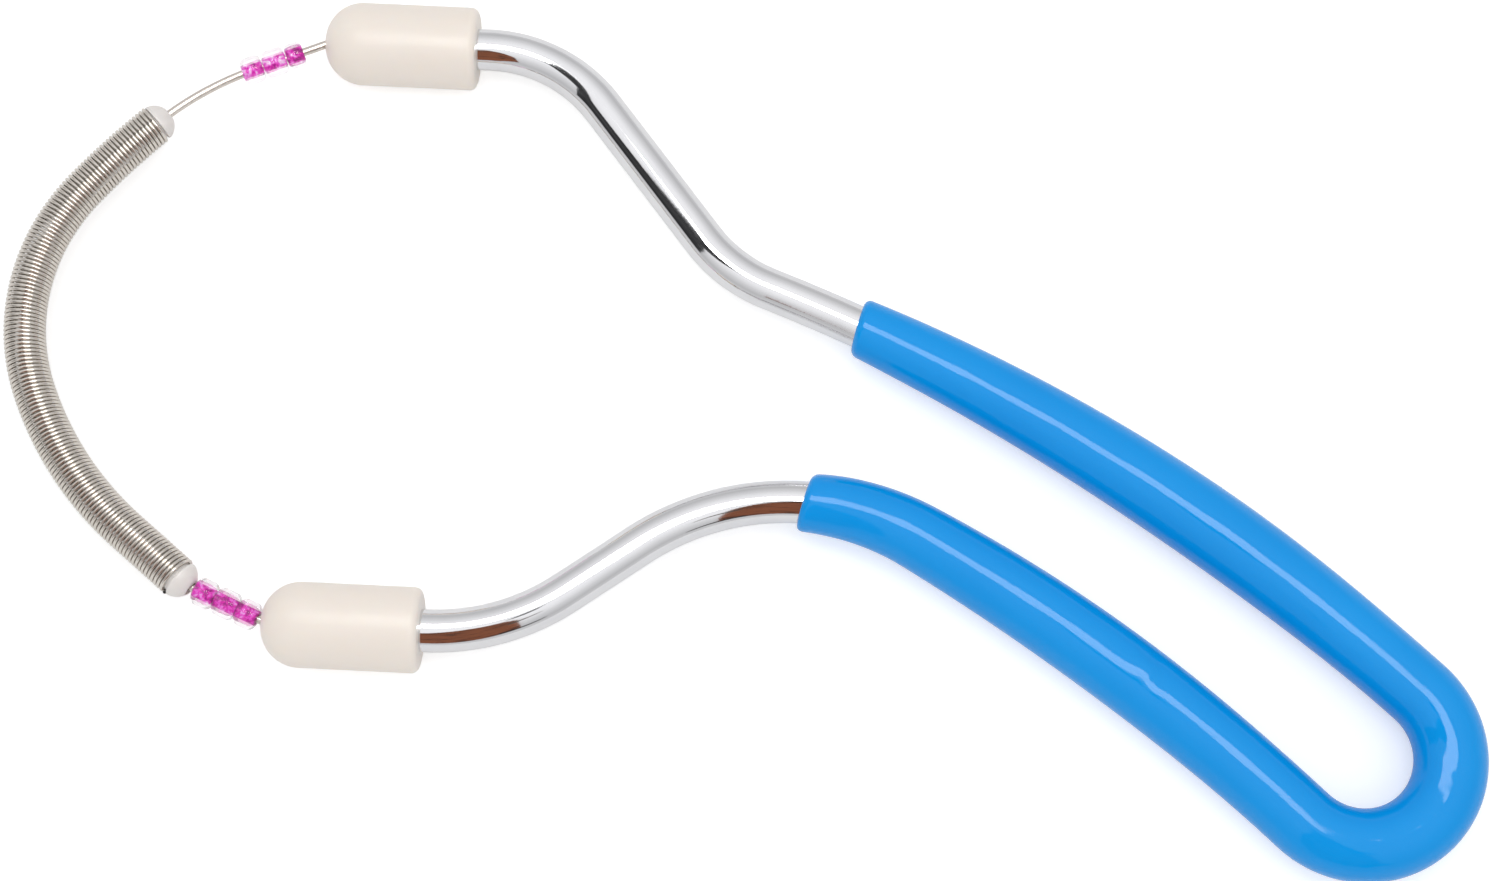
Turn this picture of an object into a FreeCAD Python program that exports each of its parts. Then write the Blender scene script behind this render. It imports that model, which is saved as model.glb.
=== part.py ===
import FreeCAD, Part
import math
import os
import Sketcher

# Hair removal spring: a close-wound coil held like a bow between two capped rod ends.
# Millimetres. The object lies flat: X runs from the coil to the loop of the grip, Y across
# the two arms and Z up. The origin is under the middle of its outline, on the surface it lies on.

doc = FreeCAD.newDocument("hair_removal_spring")


# Sizes: name, value and what it is

SIZES = [
    ("rod_diameter", 5.0, "bright steel rod that makes both arms and the loop"),
    ("upper_stub", 1.4, "straight rod between the upper cap and its first bend"),
    ("upper_bend_radius", 18.3, "first bend of the upper arm, on the rod's axis"),
    ("upper_bend_turn", 51.0, "degrees"),
    ("upper_shoulder_radius", 18.5, "bend back towards the grip"),
    ("upper_shoulder_turn", 31.2, "degrees"),
    ("upper_arm_radius", 248.0, "long slow curve of the upper grip arm"),
    ("upper_arm_turn", 20.7, "degrees"),
    ("loop_radius", 10.2, "closed end of the grip"),
    ("loop_turn", 180.9, "degrees"),
    ("lower_arm_radius", 227.5, "slow curve of the lower grip arm"),
    ("lower_arm_turn", 13.7, "degrees"),
    ("lower_shoulder_radius", 30.9, "bend of the lower arm"),
    ("lower_shoulder_turn", 64.3, "degrees"),
    ("lower_bend_radius", 26.7, "last bend of the lower arm"),
    ("lower_stub", 0.5, "straight rod between the last bend and the lower cap"),
    ("grip_end_diameter", 7.0, "dipped grip at the line where the dip stopped"),
    ("grip_palm_diameter", 9.15, "thickest part of the upper arm"),
    ("grip_palm_distance", 50.0, "from the upper end of the grip to its thickest part"),
    ("grip_finger_diameter", 8.85, "thickest part of the lower arm"),
    ("grip_finger_distance", 42.0, "from the lower end of the grip to its thickest part"),
    ("grip_loop_diameter", 8.45, "round the closed end"),
    ("grip_lip_radius", 0.9, "round lip where the dip stopped"),
    ("dip_line_x", 11.15, "where the dip line crosses the dip_line_y level"),
    ("dip_line_y", 2.2, "level at which dip_line_x is taken"),
    ("dip_line_lean", 14.2, "degrees between the dip line and Y"),
    ("cap_diameter", 10.0, "moulded end caps"),
    ("cap_length", 18.6, "nose to rim"),
    ("cap_nose_radius", 4.6, "rounding from the nose to the side"),
    ("cap_rim_radius", 0.9, "rounding of the rim round the rod"),
    ("cap_spacing", 71.9, "between the axes of the two caps"),
    ("cap_stagger", 1.5, "the lower nose stands this much further out"),
    ("upper_nose_x", -52.4, "tip of the upper cap"),
    ("upper_nose_y", 45.3, "axis of the upper cap"),
    ("nose_wall", 3.0, "plastic between the nose and the wire pocket"),
    ("nose_hole_play", 0.42, "room round the wire in the nose, on the radius"),
    ("wire_pocket_length", 4.2, "hollow between the nose wall and the rod's end"),
    ("wire_pocket_diameter", 4.2, "narrower than the rod, so that the rod stops at its shoulder"),
    ("rod_seat_clearance", 0.02, "glue line round the rod, on the radius"),
    ("crimp_diameter", 3.2, "sleeve that keeps the wire from pulling out of a cap"),
    ("crimp_length", 3.2, "sleeve that keeps the wire from pulling out of a cap"),
    ("crimp_play", 0.01, "between crimp and wire, on the radius"),
    ("wire_tail", 0.3, "wire standing out of the crimp"),
    ("core_wire_diameter", 1.0, "wire that carries coil and beads"),
    ("nose_bend_radius", 3.0, "wire bending in the mouth of a nose"),
    ("upper_nose_lean", 23.6, "degrees between the wire and the upper cap"),
    ("upper_wire_radius", 38.2, "bare wire between the beads and the coil"),
    ("upper_wire_turn", 20.4, "degrees"),
    ("upper_coil_radius", 87.4, "upper end of the coil"),
    ("upper_coil_turn", 7.8, "degrees"),
    ("middle_coil_radius", 24.8, "middle of the coil, bent most"),
    ("middle_coil_turn", 61.2, "degrees"),
    ("lower_coil_radius", 41.9, "lower part of the coil"),
    ("lower_coil_turn", 28.7, "degrees"),
    ("lower_wire_radius", 8.0, "wire bending inside the lower plug"),
    ("lower_wire_turn", 15.5, "degrees"),
    ("lower_wire_run", 8.8, "straight wire from the lower plug to the nose"),
    ("coil_diameter", 5.0, "outside of the coil"),
    ("coil_wire", 0.45, "wire that the coil is wound from"),
    ("coil_turn_clearance", 0.005, "between turns on the inside of the tightest bend"),
    ("coil_wire_sides", 6, "flats round the section of the coil's wire"),
    ("plug_diameter", 4.6, "domed head of a plug"),
    ("plug_rim", 0.3, "straight edge of a plug's head"),
    ("plug_dome_radius", 2.4, "dome of a plug's head"),
    ("plug_shank_length", 2.6, "part of a plug inside the coil"),
    ("plug_shank_clearance", 0.1, "between shank and coil, on the radius"),
    ("plug_seat_clearance", 0.02, "between a plug's head and the last turn"),
    ("plug_hole_play", 0.4, "room round the wire in a plug, on the radius"),
    ("bead_diameter", 3.4, "glass beads"),
    ("small_bead_diameter", 3.1, "the odd bead next to the upper cap"),
    ("small_bead_length", 2.2, "the odd bead next to the upper cap"),
    ("bead_length", 2.6, "most of the beads"),
    ("long_bead_length", 2.9, "the two longer beads"),
    ("bead_edge_radius", 0.75, "fire-rounded edges of a bead"),
    ("bead_hole_clearance", 0.09, "running clearance on the wire, on the radius"),
    ("bead_gap", 0.06, "between neighbouring beads"),
    ("upper_bead_offset", 2.9, "bare wire between the upper nose and its beads"),
    ("lower_bead_offset", 0.5, "bare wire between the lower nose and its beads"),
]

sheet = doc.addObject("Spreadsheet::Sheet", "sizes")
for row, (alias, value, meaning) in enumerate(SIZES, start=1):
    sheet.set(f"A{row}", alias)
    sheet.set(f"B{row}", str(value))
    sheet.set(f"C{row}", meaning)
    sheet.setAlias(f"B{row}", alias)
doc.recompute()


def size(expression):
    """The number that an expression on the sheet's names gives."""
    value = sheet.evalExpression(expression)
    return float(getattr(value, "Value", value))


def bound(expression):
    """The same expression as other objects of the document write it."""
    for alias, _, _ in SIZES:
        expression = (" " + expression + " ").replace(f" {alias} ", f" sizes.{alias} ").strip()
    return expression


axis_height = size("cap_diameter / 2")


# Paths: a list of straight runs and tangent bends in the plane of the object.
# A run is ("run", length) and a bend is ("bend", radius, turn), with lengths and radii as
# expressions on the sheet and left turns positive. A length or turn of None is left open.

def along(heading):
    return FreeCAD.Vector(math.cos(heading), math.sin(heading), 0)


def leftwards(heading):
    return FreeCAD.Vector(-math.sin(heading), math.cos(heading), 0)


def bend_centre(point, heading, radius, turn):
    return point + leftwards(heading) * math.copysign(radius, turn)


def numbers_of(steps, total_turn):
    """The steps with numbers in place of expressions, and the open turn worked out."""
    turns = [math.radians(size(step[2])) for step in steps if step[0] == "bend" and step[2]]
    left_over = math.radians(total_turn) - sum(turns)
    worked = []
    for step in steps:
        if step[0] == "run":
            worked.append(["run", size(step[1]) if step[1] else None])
        else:
            worked.append(["bend", size(step[1]), math.radians(size(step[2])) if step[2] else left_over])
    return worked


def travel(start, heading, steps):
    """Where each step starts, as (step, point, heading), and the end of the path."""
    point, places = start, []
    for step in steps:
        places.append((step, point, heading))
        if step[0] == "run":
            point = point + along(heading) * (step[1] or 0.0)
        else:
            centre = bend_centre(point, heading, step[1], step[2])
            turned = FreeCAD.Rotation(FreeCAD.Vector(0, 0, 1), math.degrees(step[2]))
            point = centre + turned.multVec(point - centre)
            heading += step[2]
    return places, point


def close_path(start, heading, steps, finish):
    """Gives the two open runs the lengths that bring the path to its finish."""
    places, end = travel(start, heading, steps)
    (first, _, first_heading), (second, _, second_heading) = [p for p in places if p[0][1] is None]
    ahead, across = along(first_heading), along(second_heading)
    missing = finish - end
    spread = ahead.x * across.y - ahead.y * across.x
    first[1] = (missing.x * across.y - missing.y * across.x) / spread
    second[1] = (ahead.x * missing.y - ahead.y * missing.x) / spread
    return travel(start, heading, steps)[0]


def step_length(step):
    return step[1] if step[0] == "run" else step[1] * abs(step[2])


def path_place(places, distance):
    """The point and heading at a distance along a path."""
    for step, point, heading in places:
        length = step_length(step)
        if distance <= length:
            break
        distance -= length
    if step[0] == "run":
        return point + along(heading) * distance, heading
    turn = math.copysign(distance / step[1], step[2])
    centre = bend_centre(point, heading, step[1], step[2])
    turned = FreeCAD.Rotation(FreeCAD.Vector(0, 0, 1), math.degrees(turn))
    return centre + turned.multVec(point - centre), heading + turn


def distance_to_step(places, steps, step):
    """Length of the path before one of its steps."""
    return sum(step_length(worked) for worked, _, _ in places[: steps.index(step)])


# Sketches: drawn in place and held there by the sheet's sizes

def new_sketch(body, name, role="XY_Plane"):
    plane = next(feature for feature in body.Origin.OriginFeatures if feature.Role == role)
    sketch = body.newObject("Sketcher::SketchObject", name)
    sketch.AttachmentSupport = (plane, [""])
    sketch.MapMode = "FlatFace"
    return sketch


def dimension(sketch, name, expression, *constraint):
    """Adds one dimension and binds it to the sheet."""
    index = sketch.addConstraint(Sketcher.Constraint(*constraint))
    sketch.renameConstraint(index, name)
    sketch.setExpression(f"Constraints.{name}", bound(expression))


def draw_arc(sketch, centre, radius, from_point, turn):
    """Adds an arc and returns its index with the ends at which a path enters and leaves it."""
    start = math.atan2(from_point.y - centre.y, from_point.x - centre.x)
    circle = Part.Circle(FreeCAD.Vector(centre.x, centre.y, 0), FreeCAD.Vector(0, 0, 1), radius)
    if turn > 0:
        return sketch.addGeometry(Part.ArcOfCircle(circle, start, start + turn), False), 1, 2
    return sketch.addGeometry(Part.ArcOfCircle(circle, start + turn, start), False), 2, 1


def draw_path(body, name, steps, places, end_names):
    """Draws a path as a tangent chain whose first and last runs lie along X."""
    sketch = new_sketch(body, name)
    sketch.setExpression("AttachmentOffset.Base.z", bound("cap_diameter / 2"))
    before = None
    for number, (step, (worked, point, heading)) in enumerate(zip(steps, places)):
        if step[0] == "run":
            tip = point + along(heading) * worked[1]
            line = Part.LineSegment(FreeCAD.Vector(point.x, point.y, 0), FreeCAD.Vector(tip.x, tip.y, 0))
            index, enter, leave = sketch.addGeometry(line, False), 1, 2
            if step[1]:
                dimension(sketch, f"run_{number}", step[1], "Distance", index, worked[1])
        else:
            centre = bend_centre(point, heading, worked[1], worked[2])
            index, enter, leave = draw_arc(sketch, centre, worked[1], point, worked[2])
            dimension(sketch, f"radius_{number}", step[1], "Radius", index, worked[1])
            if step[2]:
                size_of_turn = step[2].replace("-", "").strip()
                turned = f"{size_of_turn} * 1 deg"
                dimension(sketch, f"turn_{number}", turned, "Angle", index, abs(worked[2]))
        if before:
            sketch.addConstraint(Sketcher.Constraint("Tangent", before[0], before[1], index, enter))
        before = (index, leave)
    last = before[0]
    sketch.addConstraint(Sketcher.Constraint("Horizontal", 0))
    sketch.addConstraint(Sketcher.Constraint("Horizontal", last))
    for label, index, end, (x_name, y_name) in (
        ("start", 0, 1, end_names[0]),
        ("finish", last, 2, end_names[1]),
    ):
        dimension(sketch, f"{label}_x", x_name, "DistanceX", index, end, size(x_name))
        dimension(sketch, f"{label}_y", y_name, "DistanceY", index, end, size(y_name))
    return sketch


def bar_along_path(name, path_name, steps, places, end_names, diameter):
    """A round bar swept along a path that starts along X."""
    body = doc.addObject("PartDesign::Body", name)
    path = draw_path(body, path_name, steps, places, end_names)
    section = new_sketch(body, f"{name}_section", "YZ_Plane")
    section.setExpression("AttachmentOffset.Base.z", bound(end_names[0][0]))
    centre = FreeCAD.Vector(size(end_names[0][1]), axis_height, 0)
    circle = Part.Circle(centre, FreeCAD.Vector(0, 0, 1), size(diameter) / 2)
    index = section.addGeometry(circle, False)
    dimension(section, "thickness", diameter, "Diameter", index, size(diameter))
    dimension(section, "across", end_names[0][1], "DistanceX", index, 3, centre.x)
    dimension(section, "height", "cap_diameter / 2", "DistanceY", index, 3, centre.y)
    doc.recompute()
    bar = body.newObject("PartDesign::AdditivePipe", f"{name}_bar")
    bar.Profile = section
    bar.Spine = (path, [f"Edge{number + 1}" for number in range(len(steps))])
    body.Tip = bar
    doc.recompute()
    return body


def draw_outline(body, name, corners):
    """Draws a closed half-section. Each corner is (x, y) as expressions, and one that an arc
    leads to has the arc's radius as well, with the turn to the right."""
    sketch = new_sketch(body, name)
    points = [FreeCAD.Vector(size(corner[0]), size(corner[1]), 0) for corner in corners]
    ends = []
    for number, corner in enumerate(corners):
        point, previous = points[number], points[number - 1]
        if len(corner) == 2:
            ends.append((sketch.addGeometry(Part.LineSegment(previous, point), False), 1, 2))
            continue
        chord, radius = point - previous, size(corner[2])
        rise = math.sqrt(max(radius ** 2 - (chord.Length / 2) ** 2, 0.0))
        to_left = FreeCAD.Vector(-chord.y, chord.x, 0).normalize()
        centre = (point + previous) * 0.5 - to_left * rise
        turn = -2 * math.asin(min(chord.Length / 2 / radius, 1.0))
        ends.append(draw_arc(sketch, centre, radius, previous, turn))
        dimension(sketch, f"arc_{number}", corner[2], "Radius", ends[-1][0], radius)
    for number, (x_name, y_name, *_) in enumerate(corners):
        index, _, leave = ends[number]
        after, enter, _ = ends[(number + 1) % len(corners)]
        sketch.addConstraint(Sketcher.Constraint("Coincident", index, leave, after, enter))
        for label, kind, expression, axis in (("x", "DistanceX", x_name, -2), ("y", "DistanceY", y_name, -1)):
            if expression == "0":
                sketch.addConstraint(Sketcher.Constraint("PointOnObject", index, leave, axis))
            else:
                dimension(sketch, f"{label}_{number}", expression, kind, index, leave, size(expression))
    return sketch


def turned_piece(name, outline):
    """A body turned round its own X axis."""
    body = doc.addObject("PartDesign::Body", name)
    sketch = draw_outline(body, f"{name}_outline", outline)
    doc.recompute()
    turned = body.newObject("PartDesign::Revolution", f"{name}_turned")
    turned.Profile = sketch
    turned.ReferenceAxis = (sketch, ["H_Axis"])
    turned.Angle = 360
    body.Tip = turned
    doc.recompute()
    return body


def place_piece(piece, point, heading):
    """Puts a turned piece on a point of a path, with its X axis along the heading."""
    turned = FreeCAD.Rotation(FreeCAD.Vector(0, 0, 1), math.degrees(heading))
    piece.Placement = FreeCAD.Placement(FreeCAD.Vector(point.x, point.y, axis_height), turned)


# The rod: one length of round steel, bent into two cranked arms and a closed loop.
# Its ends are fixed by the caps, and its two straight lengths follow from that.

ROD_SHOULDER = "nose_wall + wire_pocket_length"
UPPER_ROD_END = (f"upper_nose_x + {ROD_SHOULDER}", "upper_nose_y")
LOWER_ROD_END = (f"upper_nose_x - cap_stagger + {ROD_SHOULDER}", "upper_nose_y - cap_spacing")
LOOP = ("bend", "loop_radius", "- loop_turn")
LOWER_ARM = ("bend", "lower_arm_radius", "lower_arm_turn")
ROD_STEPS = [
    ("run", "cap_length - nose_wall - wire_pocket_length + upper_stub"),
    ("bend", "upper_bend_radius", "- upper_bend_turn"),
    ("run", None),
    ("bend", "upper_shoulder_radius", "upper_shoulder_turn"),
    ("bend", "upper_arm_radius", "- upper_arm_turn"),
    LOOP,
    LOWER_ARM,
    ("bend", "lower_shoulder_radius", "lower_shoulder_turn"),
    ("run", None),
    ("bend", "lower_bend_radius", None),
    ("run", "cap_length - nose_wall - wire_pocket_length + lower_stub"),
]


def end_point(names):
    return FreeCAD.Vector(size(names[0]), size(names[1]), 0)


rod_places = close_path(
    end_point(UPPER_ROD_END), 0.0, numbers_of(ROD_STEPS, -180.0), end_point(LOWER_ROD_END)
)
frame_rod = bar_along_path(
    "frame_rod", "rod_path", ROD_STEPS, rod_places, (UPPER_ROD_END, LOWER_ROD_END), "rod_diameter"
)


# The wire: it is held in both caps and carries the beads, the plugs and the coil.
# The coil covers it from the upper coil bend to the bend in the lower plug.

NOSE_BEND_SHIFT = "nose_bend_radius * ( 1 - cos( upper_nose_lean * 1 deg))"
HELD_WIRE = "nose_wall + crimp_length + wire_tail"
UPPER_WIRE_END = (f"upper_nose_x + {HELD_WIRE}", "upper_nose_y")
LOWER_WIRE_END = (f"upper_nose_x - cap_stagger + {HELD_WIRE}", "upper_nose_y - cap_spacing")
LOWER_NOSE_LEAN = (
    "180 - upper_nose_lean - upper_wire_turn - upper_coil_turn - middle_coil_turn"
    " - lower_coil_turn - lower_wire_turn"
)
OPEN_RUN = ("run", None)
UPPER_COIL = ("bend", "upper_coil_radius", "upper_coil_turn")
LOWER_PLUG = ("bend", "lower_wire_radius", "lower_wire_turn")
LOWER_NOSE = ("bend", "nose_bend_radius", None)
WIRE_STEPS = [
    ("run", f"{HELD_WIRE} - nose_bend_radius * sin( upper_nose_lean * 1 deg)"),
    ("bend", "nose_bend_radius", "upper_nose_lean"),
    OPEN_RUN,
    ("bend", "upper_wire_radius", "upper_wire_turn"),
    UPPER_COIL,
    ("bend", "middle_coil_radius", "middle_coil_turn"),
    ("bend", "lower_coil_radius", "lower_coil_turn"),
    OPEN_RUN,
    LOWER_PLUG,
    ("run", "lower_wire_run"),
    LOWER_NOSE,
    ("run", f"{HELD_WIRE} - nose_bend_radius * sin(( {LOWER_NOSE_LEAN} ) * 1 deg)"),
]
wire_places = close_path(
    end_point(UPPER_WIRE_END), math.pi, numbers_of(WIRE_STEPS, 180.0), end_point(LOWER_WIRE_END)
)
core_wire = bar_along_path(
    "core_wire", "wire_path", WIRE_STEPS, wire_places, (UPPER_WIRE_END, LOWER_WIRE_END), "core_wire_diameter"
)


# The caps: blind mouldings with the rod glued in behind and the wire coming out of the nose

NOSE_HOLE = f"core_wire_diameter / 2 + {NOSE_BEND_SHIFT} + nose_hole_play"
ROD_BORE = "rod_diameter / 2 + rod_seat_clearance"
CAP_OUTLINE = [
    ("nose_wall", NOSE_HOLE),
    (
        "cap_nose_radius - sqrt( cap_nose_radius ^ 2"
        f" - ( {NOSE_HOLE} + cap_nose_radius - cap_diameter / 2 ) ^ 2)",
        NOSE_HOLE,
    ),
    ("cap_nose_radius", "cap_diameter / 2", "cap_nose_radius"),
    ("cap_length - cap_rim_radius", "cap_diameter / 2"),
    ("cap_length", "cap_diameter / 2 - cap_rim_radius", "cap_rim_radius"),
    ("cap_length", ROD_BORE),
    ("nose_wall + wire_pocket_length", ROD_BORE),
    ("nose_wall + wire_pocket_length", "wire_pocket_diameter / 2"),
    ("nose_wall", "wire_pocket_diameter / 2"),
]
upper_nose = FreeCAD.Vector(size("upper_nose_x"), size("upper_nose_y"), 0)
lower_nose = upper_nose - FreeCAD.Vector(size("cap_stagger"), size("cap_spacing"), 0)
for side, nose in (("upper", upper_nose), ("lower", lower_nose)):
    place_piece(turned_piece(f"{side}_end_cap", CAP_OUTLINE), nose, 0.0)


# The crimps: short sleeves on the wire's ends, which bear on the inside of the nose walls

def tube(name, outer, inner, length):
    """A plain tube from its own origin along X."""
    cylinders = []
    for label, radius in (("outside", outer), ("bore", inner)):
        cylinder = doc.addObject("Part::Cylinder", f"{name}_{label}")
        cylinder.setExpression("Radius", bound(radius))
        cylinder.setExpression("Height", bound(length))
        cylinder.Placement = FreeCAD.Placement(
            FreeCAD.Vector(), FreeCAD.Rotation(FreeCAD.Vector(0, 1, 0), 90)
        )
        cylinders.append(cylinder)
    cut = doc.addObject("Part::Cut", name)
    cut.Base, cut.Tool = cylinders
    return cut


for side, nose in (("upper", upper_nose), ("lower", lower_nose)):
    crimp = tube(
        f"{side}_wire_crimp",
        "crimp_diameter / 2",
        "core_wire_diameter / 2 + crimp_play",
        "crimp_length",
    )
    place_piece(crimp, nose + FreeCAD.Vector(size("nose_wall"), 0, 0), 0.0)


# The plugs: a domed head that covers the coil's end and a shank inside it

PLUG_HOLE = "core_wire_diameter / 2 + plug_hole_play"
PLUG_SHANK = "coil_diameter / 2 - coil_wire - plug_shank_clearance"
PLUG_OUTLINE = [
    ("- plug_shank_length", PLUG_HOLE),
    ("- plug_shank_length", PLUG_SHANK),
    ("plug_seat_clearance", PLUG_SHANK),
    ("plug_seat_clearance", "plug_diameter / 2"),
    ("plug_seat_clearance + plug_rim", "plug_diameter / 2"),
    (
        "plug_seat_clearance + plug_rim - sqrt( plug_dome_radius ^ 2 - ( plug_diameter / 2) ^ 2)"
        f" + sqrt( plug_dome_radius ^ 2 - ( {PLUG_HOLE} ) ^ 2)",
        PLUG_HOLE,
        "plug_dome_radius",
    ),
]
coil_start = distance_to_step(wire_places, WIRE_STEPS, UPPER_COIL)
coil_end = distance_to_step(wire_places, WIRE_STEPS, LOWER_PLUG)
upper_seat, upper_heading = path_place(wire_places, coil_start)
lower_seat, lower_heading = path_place(wire_places, coil_end)
place_piece(turned_piece("upper_spring_plug", PLUG_OUTLINE), upper_seat, upper_heading + math.pi)
place_piece(turned_piece("lower_spring_plug", PLUG_OUTLINE), lower_seat, lower_heading)


# The beads: short drawn-glass tubes that spin on the wire, in two rows of three

BEAD_HOLE = "core_wire_diameter / 2 + bead_hole_clearance"


def bead(name, diameter, length):
    half, radius = f"{length} / 2", f"{diameter} / 2"
    outline = [
        (f"- {half}", BEAD_HOLE),
        (f"- {half}", f"{radius} - bead_edge_radius"),
        (f"- {half} + bead_edge_radius", radius, "bead_edge_radius"),
        (f"{half} - bead_edge_radius", radius),
        (half, f"{radius} - bead_edge_radius", "bead_edge_radius"),
        (half, BEAD_HOLE),
    ]
    return turned_piece(name, outline)


UPPER_BEADS = [
    ("small_bead_diameter", "small_bead_length"),
    ("bead_diameter", "long_bead_length"),
    ("bead_diameter", "bead_length"),
]
LOWER_BEADS = [
    ("bead_diameter", "bead_length"),
    ("bead_diameter", "long_bead_length"),
    ("bead_diameter", "bead_length"),
]


def thread_beads(side, beads, distance, direction):
    """Threads beads from a nose towards the coil."""
    for number, (diameter, length) in enumerate(beads, start=1):
        middle = distance + direction * size(length) / 2
        place_piece(bead(f"{side}_bead_{number}", diameter, length), *path_place(wire_places, middle))
        distance += direction * (size(length) + size("bead_gap"))


upper_row = distance_to_step(wire_places, WIRE_STEPS, OPEN_RUN) + size("upper_bead_offset")
lower_row = distance_to_step(wire_places, WIRE_STEPS, LOWER_NOSE) - size("lower_bead_offset")
thread_beads("upper", UPPER_BEADS, upper_row, 1)
thread_beads("lower", LOWER_BEADS, lower_row, -1)


# The coil: each turn is two half rings, which step from one wire place to the next.
# The outer places stand one pitch apart along the bent axis and the inner ones half way between,
# so that on the inside of the tightest bend the turns still just clear each other.

def coil_section(distance, side):
    """Corners of the wire's section on the outer (1) or inner (-1) side of the bend."""
    point, heading = path_place(wire_places, distance)
    outwards = leftwards(heading) * -side
    reach = (size("coil_diameter") - size("coil_wire")) / 2
    centre = FreeCAD.Vector(point.x, point.y, axis_height) + outwards * reach
    corners = []
    for number in range(int(size("coil_wire_sides"))):
        angle = 2 * math.pi * number / size("coil_wire_sides")
        corner = outwards * math.cos(angle) + along(heading) * math.sin(angle)
        corners.append(centre + corner * (size("coil_wire") / 2))
    return corners


def half_ring(from_corners, to_corners, rise):
    """Faces of half a turn, each ruled between two arcs that join corners over the top or below."""
    arcs = []
    for start, end in zip(from_corners, to_corners):
        crown = (start + end) * 0.5 + FreeCAD.Vector(0, 0, rise * (end - start).Length / 2)
        arcs.append(Part.Arc(start, crown, end).toShape())
    return [Part.makeRuledSurface(arcs[number - 1], arcs[number]) for number in range(len(arcs))]


def wound_coil(start, end):
    """Close-wound coil between two distances along the wire."""
    reach = (size("coil_diameter") - size("coil_wire")) / 2
    tightest = size("middle_coil_radius")
    closest = (size("coil_wire") + size("coil_turn_clearance")) * tightest / (tightest - reach)
    winding = end - start - size("coil_wire")
    turns = int(winding / closest)
    pitch = winding / turns
    first = start + size("coil_wire") / 2
    faces = []
    for turn in range(turns):
        near = coil_section(first + turn * pitch, 1)
        across = coil_section(first + (turn + 0.5) * pitch, -1)
        far = coil_section(first + (turn + 1) * pitch, 1)
        faces += half_ring(near, across, 1) + half_ring(across, far, -1)
        if turn == 0:
            faces.append(Part.Face(Part.makePolygon(near + near[:1])))
    faces.append(Part.Face(Part.makePolygon(far + far[:1])))
    shell = Part.makeShell(faces)
    shell.sewShape()
    coil = Part.makeSolid(shell)
    if coil.Volume < 0:
        coil.reverse()
    return coil


coil_spring = doc.addObject("Part::Feature", "coil_spring")
coil_spring.Shape = wound_coil(coil_start, coil_end)


# The grip: a soft skin that follows the rod and swells under palm and fingers.
# It was dipped to one level, so both of its ends lie on the same leaning line.

def beyond_dip_line(distance):
    """Whether the rod's axis at a distance is on the grip's side of the dip line."""
    point = path_place(rod_places, distance)[0]
    lean = math.tan(math.radians(size("dip_line_lean")))
    return point.x > size("dip_line_x") + (point.y - size("dip_line_y")) * lean


def distance_to_dip(outside, inside):
    """Distance along the rod at which it crosses the dip line, between two that lie either side."""
    for _ in range(40):
        middle = (outside + inside) / 2
        if beyond_dip_line(middle):
            inside = middle
        else:
            outside = middle
    return inside


def rising(share):
    """Weight that rises at once and levels off."""
    return math.sin(share * math.pi / 2)


def falling(share):
    """Weight that falls slowly at first and levels off."""
    return (1 + math.cos(share * math.pi)) / 2


loop_start = distance_to_step(rod_places, ROD_STEPS, LOOP)
loop_end = distance_to_step(rod_places, ROD_STEPS, LOWER_ARM)
upper_dip = distance_to_dip(distance_to_step(rod_places, ROD_STEPS, ROD_STEPS[0]), loop_start)
lower_dip = distance_to_dip(distance_to_step(rod_places, ROD_STEPS, ROD_STEPS[-1]), loop_end)
palm = upper_dip + size("grip_palm_distance")
fingers = lower_dip - size("grip_finger_distance")
spare = size("grip_end_diameter")

# Each stretch of the grip: where it starts and ends, how many sections it takes, the diameters
# that it blends and the weight of the thicker one
GRIP_STRETCHES = [
    (upper_dip - spare, upper_dip, 2, "grip_end_diameter", "grip_palm_diameter", lambda share: 0),
    (upper_dip, palm, 12, "grip_end_diameter", "grip_palm_diameter", rising),
    (palm, loop_start, 4, "grip_loop_diameter", "grip_palm_diameter", falling),
    (loop_start, loop_end, 12, "grip_loop_diameter", "grip_palm_diameter", lambda share: 0),
    (loop_end, fingers, 2, "grip_loop_diameter", "grip_finger_diameter", lambda share: 1 - falling(share)),
    (fingers, lower_dip, 12, "grip_end_diameter", "grip_finger_diameter", lambda share: rising(1 - share)),
    (lower_dip, lower_dip + spare, 2, "grip_end_diameter", "grip_finger_diameter", lambda share: 0),
]


def grip_section(distance, thin, thick, weight):
    """A circle square to the rod."""
    point, heading = path_place(rod_places, distance)
    circle = doc.addObject("Part::Circle", "grip_section")
    circle.setExpression("Radius", bound(f"( {thin} + ( {thick} - {thin} ) * {weight:.4f} ) / 2"))
    upright = FreeCAD.Rotation(FreeCAD.Vector(0, 1, 0), 90)
    square = FreeCAD.Rotation(FreeCAD.Vector(0, 0, 1), math.degrees(heading)).multiply(upright)
    circle.Placement = FreeCAD.Placement(FreeCAD.Vector(point.x, point.y, axis_height), square)
    return circle


sections = []
for start, end, count, thin, thick, weight in GRIP_STRETCHES:
    for number in range(count):
        share = number / count
        sections.append(grip_section(start + (end - start) * share, thin, thick, weight(share)))
sections.append(grip_section(end, thin, thick, weight(1)))
skin = doc.addObject("Part::Loft", "grip_skin")
skin.Sections = sections
skin.Solid = True
skin.Ruled = False

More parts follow.
